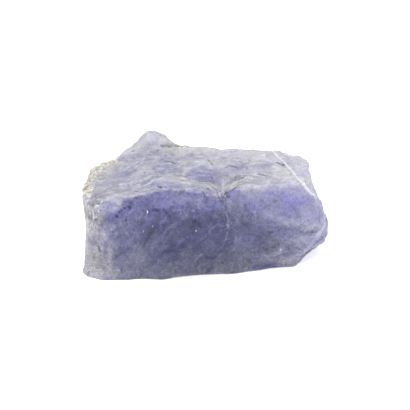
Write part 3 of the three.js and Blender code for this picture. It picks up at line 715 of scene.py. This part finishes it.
    def with_left_end(colour):
        """The rough left end: sugary, scored and chipped, with shaded hollows."""
        high = (height + ragged * 2).rise(5.6, 8.2)
        sugar = high.tint(mix_plain(hues.milky_end, hues.sugar_end, 0.75), hues.sugar_end)
        sugar = (sweep * (0.42 - high * 0.2)).tint(sugar, hues.dull_flank)
        sugar = (haze.rise(0.5, 0.62) * 0.3).tint(sugar, hues.cream_vein)
        # Painted shade in the pit, at the nick and in the shaded hollows of the left end.
        hole = patch(place, (-14.8, -6, 8.5), (0.6, 1.5, 0.4), ragged * 0.6)
        sugar = (hole * 0.5).tint(sugar, hues.slit_shade)
        sugar = shaded(sugar, 0.54 + grit * 0.18 + scored * (0.1 + high * 0.16) + dust * 0.6)
        nick_shade = patch(place, (-14.6, -6.2, 8.8), (0.9, 2, 0.8), ragged * 0.6)
        shadowed = nick_shade
        for centre, radii in END_SHADES:
            shadowed = shadowed.math("MAXIMUM", patch(adrift, centre, radii, ragged * 0.7))
        colour = shaded(end.tint(colour, sugar), 1 - shadowed * 0.26 - nick_shade * 0.22)
        broken = patch(adrift, (-15, -5, 9.6), (1.7, 3.6, 3), ragged * 0.7) * grit
        colour = (broken * scored.rise(0.5, 0.1) * 0.35).tint(colour, hues.slit_shade)
        return (broken * scored.rise(0.6, 0.95) * 0.45).tint(colour, hues.white_edge_and_highlight)

    def with_crust(colour):
        """The crust of host rock, with brown grains."""
        grain = channels(cells(adrift, 0.42, seed=60, output="Color"))[0]
        rock = (grain.rise(0.58, 0.85) * 0.8).tint(hues.crust, hues.crust_stain)
        rock = (mottle.rise(0.42, 0.6) * 0.35).tint(rock, hues.pale_fibres)
        rock = shaded(rock, 0.56 + grit * 0.55 + dust * 0.3)
        return (crust + (blotch + grit) * 0.35 - 0.35).rise(0.2, 0.85).tint(colour, rock)

    def with_relief(colour):
        """A slow drift of the colour, paler crests, part frost and part painted highlight, and painted shade
        in hollows.
        """
        tone = channels(clouds(adrift, 2.6, detail=4, rough=0.7, seed=71, output=1))
        tone = [1 + (channel - 0.5) * sway for channel, sway in zip(tone, TONE_SWAY)]
        tone = start.add("ShaderNodeCombineColor", None, dict(enumerate(tone)))
        colour = start.add("ShaderNodeMix", {"data_type": "RGBA", "blend_type": "MULTIPLY"},
                           {0: 1, 6: colour, 7: tone}, 2)
        # Painted light from the relief: crests are painted paler, partly frost and partly a painted
        # highlight, and hollows darker as painted shade.
        crest = raised.rise(0.02, 0.22) * (0.14 + top * 0.16 - end * 0.08)
        hollow = raised.rise(-0.02, -0.24) * (0.4 - top * 0.15 - bevel * 0.3 - end * 0.22)
        colour = crest.tint(colour, hues.pale_fibres)
        return (hollow * (1 - crust * 0.5)).tint(colour, hues.grey_heart)

    def with_pale_lines(colour):
        """The white ridge, the pale edges, the veils of fine cracks and the scratches."""
        rim = kept("front_rim") + (mottle - 0.5) * 1.6
        ridge = kept("white_ridge")
        # The pale ridge line is a frosted edge, partly a painted highlight along it.
        bright = ridge.rise(0.34, 0.08) * height.rise(11.5, 11) * height.rise(7, 8.8)
        pale = ridge.rise(0.15, 0.03) * (0.3 + blotch * 0.35) * height.rise(7, 9.2)
        for line in (bright * (0.4 + grit * 0.35),
                     kept("left_edge").rise(0.24, 0.05) * scored * 0.55,
                     rim.math("ABSOLUTE").rise(0.25, 0.05) * top * across.rise(2.5, 0.5) * blotch * 0.35,
                     kept("notch_rim").rise(0.15, 0.04) * blotch * 0.5):
            pale = pale.math("MAXIMUM", line)
        colour = pale.tint(colour, hues.white_edge_and_highlight)
        veil = kept("veil")
        wide = veil.rise(0.75, 0.1) * (0.1 + blotch * 0.35) * (0.4 + across.rise(7.5, 9.5) * 0.6)
        thin = veil.rise(0.16, 0.03) * grit * 0.3 * across.rise(9.5, 8)
        colour = (wide + thin).tint(colour, mix_plain(hues.cream_vein, hues.milky_end, 0.5))
        colour = (kept("scratches").rise(0.18, 0.04) * (0.05 + grit * 0.35)).tint(colour, hues.milky_end)
        for centre, radii in NOTCH_SPOTS:
            colour = (patch(place, centre, radii, ragged * 0.6) * 0.4).tint(colour, hues.pale_fibres)
        return colour

    def with_dark_lines(colour):
        """Inky marks and specks, notch chips, painted shade in slit, scarp, crack and beside the ridge, the
        ridge stain.
        """
        marks = kept("front_marks").rise(0.3, 0.06) * (0.35 + grit * 0.45) * (1 - right_side * 0.3)
        for centre, radius, share in SPECKS:
            speck = patch(place, centre, (radius, 1.5, radius), (blotch - 0.5) * 0.6) * share
            marks = marks.math("MAXIMUM", speck)
        colour = marks.tint(colour, hues.ink)
        chipped = patch(place, (1.2, -6.5, 10.5), (1, 1.8, 0.9), ragged * 0.6)
        colour = (chipped * grit.rise(0.65, 0.3) * 0.6).tint(colour, hues.grey_heart)
        colour = (chipped * grit.rise(0.7, 0.95) * 0.3).tint(colour, hues.white_edge_and_highlight)
        colour = (kept("top_marks").rise(0.2, 0.03) * (0.4 + grit * 0.5)).tint(colour, hues.slit_shade)
        slit = kept("slit")
        tinted = slit.rise(0.5, 0.1) * across.rise(1.2, 2.2) * (0.05 + grit * 0.55)
        colour = tinted.tint(colour, hues.deep_violet)
        # Painted shade along the bottom of the slit, under the scarp, in the crack and beside the ridge.
        dark = slit.rise(0.2, 0.05) * across.rise(1.3, 2) * (0.55 + grit * 0.45)
        for line in (kept("scarp").rise(0.35, 0.1) * (0.2 + fleck * 0.5),
                     kept("crack").rise(0.15, 0.03) * 0.35,
                     kept("ridge_shade").rise(0.18, 0.04) * blotch * 0.35):
            dark = dark.math("MAXIMUM", line)
        colour = dark.tint(colour, hues.slit_shade)
        stain = kept("ridge_stain").rise(0.35, 0.05) * height.rise(11.4, 10.9) * (0.3 + blotch * 0.6)
        return stain.tint(colour, hues.crust_stain)

    def with_glints(colour, glints):
        """The fresh chips that catch the light, brightest first, and small pits."""
        # Painted highlights: the glints are laid into the colour in white.
        colour = (glints * 0.85).tint(colour, hues.white_edge_and_highlight)
        # Duller painted highlights, laid in the pale fibre colour.
        for centre, radii in SOFT_GLINTS:
            soft = patch(place, centre, radii, (blotch - 0.5) * 0.4)
            colour = (soft * 0.5).tint(colour, hues.pale_fibres)
        chosen = channels(cells(adrift, 1.2, seed=83, output="Color"))[1]
        pits = cells(adrift, 1.2, seed=83).rise(0.22, 0.06) * chosen.rise(0.45, 0.6)
        return (pits * (1 - bevel * 0.7) * 0.55).tint(colour, hues.grey_heart)

    colour = top.tint(front_colour(), top_colour())
    for coat in (with_left_end, with_crust, with_relief, with_pale_lines, with_dark_lines):
        colour = coat(colour)
    glints = 0
    for centre, radii in GLINTS:
        glints = patch(place, centre, radii, (blotch - 0.5) * 0.4).math("MAXIMUM", glints)
    colour = with_glints(colour, glints)
    tree.links.new(colour.socket, shader.inputs["Base Color"])

    dull = 0.45 + top * 0.12 + crust * 0.3 + end * 0.15 + (mottle - 0.5) * 0.3 - glints * 0.25
    tree.links.new(dull.socket, shader.inputs["Roughness"])
    fine = strands * top * 0.8 + speckle * 0.7 + tooth * (0.35 + end * 0.4 + crust * 0.5)
    bump = start.add("ShaderNodeBump", None, {"Strength": 0.8, "Distance": 0.00014, "Height": fine})
    tree.links.new(bump.socket, shader.inputs["Normal"])
    fill(shader, {"IOR": ZOISITE_IOR, "Specular IOR Level": 0.25, "Subsurface Weight": 0.2,
                  "Subsurface Radius": (0.8, 0.8, 1), "Subsurface Scale": 0.0003})
    return material


class OBJECT_OT_rough_stone(bpy.types.Operator):
    """Make the finished stone from the solid: smooth its broken faces, raise the fine relief and paint it"""

    bl_idname = "object.rough_stone"
    bl_label = "Rough Stone"

    def execute(self, context):
        settings = context.scene.tanzanite_stone
        bpy.ops.object.select_all(action="DESELECT")
        solid = frame["nodes"][NODE]
        solid.select_set(True)
        context.view_layer.objects.active = solid
        bpy.ops.object.duplicate(linked=False)
        stone = context.view_layer.objects.active
        stone.name = stone.data.name = "rough_stone"
        bpy.ops.object.parent_clear(type="CLEAR_KEEP_TRANSFORM")
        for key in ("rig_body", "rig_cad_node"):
            del stone[key]
        stone.data.materials.clear()
        while stone.data.uv_layers:
            stone.data.uv_layers.remove(stone.data.uv_layers[0])

        bpy.ops.object.mode_set(mode="EDIT")
        bpy.ops.mesh.select_all(action="SELECT")
        bpy.ops.mesh.remove_doubles(threshold=WELD)
        bpy.ops.mesh.tris_convert_to_quads(face_threshold=QUAD_LIMIT, shape_threshold=QUAD_LIMIT)
        bpy.ops.mesh.select_mode(type="EDGE")
        bpy.ops.mesh.select_all(action="DESELECT")
        bpy.ops.mesh.edges_select_sharp(sharpness=EDGE_ANGLE)
        bpy.ops.object.mode_set(mode="OBJECT")
        for edge in stone.data.edges:
            if min(stone.data.vertices[i].co.z for i in edge.vertices) < settings.worn_below:
                edge.select = False
        bpy.ops.object.mode_set(mode="EDIT")
        bpy.ops.transform.edge_crease(value=settings.edge_sharpness)
        bpy.ops.object.mode_set(mode="OBJECT")

        smooth = stone.modifiers.new("smooth", "SUBSURF")
        smooth.levels = smooth.render_levels = SMOOTH_LEVELS
        bpy.ops.object.modifier_apply(modifier=smooth.name)
        relief = stone.modifiers.new("relief", "NODES")
        relief.node_group = relief_nodes(settings)
        bpy.ops.object.modifier_apply(modifier=relief.name)
        bpy.ops.object.shade_smooth()
        if len(stone.data.polygons) < FEWEST_FACES:
            raise RuntimeError("the stone's relief wasn't raised")

        stone.data.materials.append(stone_finish(settings))
        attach(stone, "root")
        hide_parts(NODE)
        return {"FINISHED"}


def panel_light(name, place, aim, size, power):
    """A square softbox that looks at a point."""
    bpy.ops.object.light_add(type="AREA", location=place)
    lamp = bpy.context.object
    lamp.name = name
    lamp.rotation_euler = (Vector(aim) - Vector(place)).to_track_quat("-Z", "Y").to_euler()
    lamp.data.shape = "SQUARE"
    lamp.data.size = size
    lamp.data.energy = power


class SCENE_OT_specimen_studio(bpy.types.Operator):
    """Set up the white floor, the soft lights and the camera"""

    bl_idname = "scene.specimen_studio"
    bl_label = "Specimen Studio"

    def execute(self, context):
        settings = context.scene.tanzanite_studio
        bpy.ops.object.select_all(action="DESELECT")
        bpy.ops.mesh.primitive_plane_add(size=3.0, location=(0.0, 0.0, 0.0))
        floor = context.object
        floor.name = "paper_floor"
        paper = bpy.data.materials.new("white_paper")
        paper.use_nodes = True
        fill(paper.node_tree.nodes["Principled BSDF"], {
            "Base Color": (*settings.floor_colour, 1.0), "Roughness": 1.0, "Specular IOR Level": 0.0,
            "Emission Color": WHITE, "Emission Strength": settings.floor_glow})
        floor.data.materials.append(paper)

        panel_light("softbox_overhead", (0.02, -0.05, 0.40), (0.0, 0.0, 0.0), 0.26, settings.ceiling_power)
        panel_light("panel_left", (-0.32, -0.06, 0.16), (0.0, 0.0, 0.005), 0.2, settings.side_power)
        world = bpy.data.worlds.new("white_surround")
        world.use_nodes = True
        fill(world.node_tree.nodes["Background"], {"Color": WHITE, "Strength": settings.surround})
        context.scene.world = world

        away = Vector((math.sin(settings.view_turn) * math.cos(settings.view_height),
                       -math.cos(settings.view_turn) * math.cos(settings.view_height),
                       math.sin(settings.view_height)))
        bpy.ops.object.camera_add(location=Vector(settings.view_target) + away * settings.view_distance)
        camera = context.object
        camera.name = "specimen_camera"
        camera.rotation_euler = away.to_track_quat("Z", "Y").to_euler()
        camera.data.sensor_width = 36.0
        camera.data.lens = camera.data.sensor_width * settings.view_distance / settings.view_width
        camera.data.clip_start, camera.data.clip_end = 0.01, 10.0
        context.scene.camera = camera
        context.scene.view_settings.view_transform = "Standard"
        return {"FINISHED"}


class VIEW3D_PT_tanzanite(bpy.types.Panel):
    """Sizes and colours of the stone, and its studio"""

    bl_label = "Rough Tanzanite"
    bl_idname = "VIEW3D_PT_tanzanite"
    bl_space_type = "VIEW_3D"
    bl_region_type = "UI"
    bl_category = "Tanzanite"

    def draw(self, context):
        for settings, operator in ((context.scene.tanzanite_stone, OBJECT_OT_rough_stone),
                                   (context.scene.tanzanite_studio, SCENE_OT_specimen_studio)):
            box = self.layout.box()
            for name in settings.__annotations__:
                box.prop(settings, name)
            box.operator(operator.bl_idname)


CLASSES = (StoneSettings, StudioSettings, OBJECT_OT_rough_stone, SCENE_OT_specimen_studio,
           VIEW3D_PT_tanzanite)


def register():
    for each in CLASSES:
        bpy.utils.register_class(each)
    bpy.types.Scene.tanzanite_stone = bpy.props.PointerProperty(type=StoneSettings)
    bpy.types.Scene.tanzanite_studio = bpy.props.PointerProperty(type=StudioSettings)


def unregister():
    del bpy.types.Scene.tanzanite_studio
    del bpy.types.Scene.tanzanite_stone
    for each in reversed(CLASSES):
        bpy.utils.unregister_class(each)


def main():
    register()
    bpy.ops.scene.specimen_studio()
    bpy.ops.object.rough_stone()


if __name__ == "__main__":
    main()
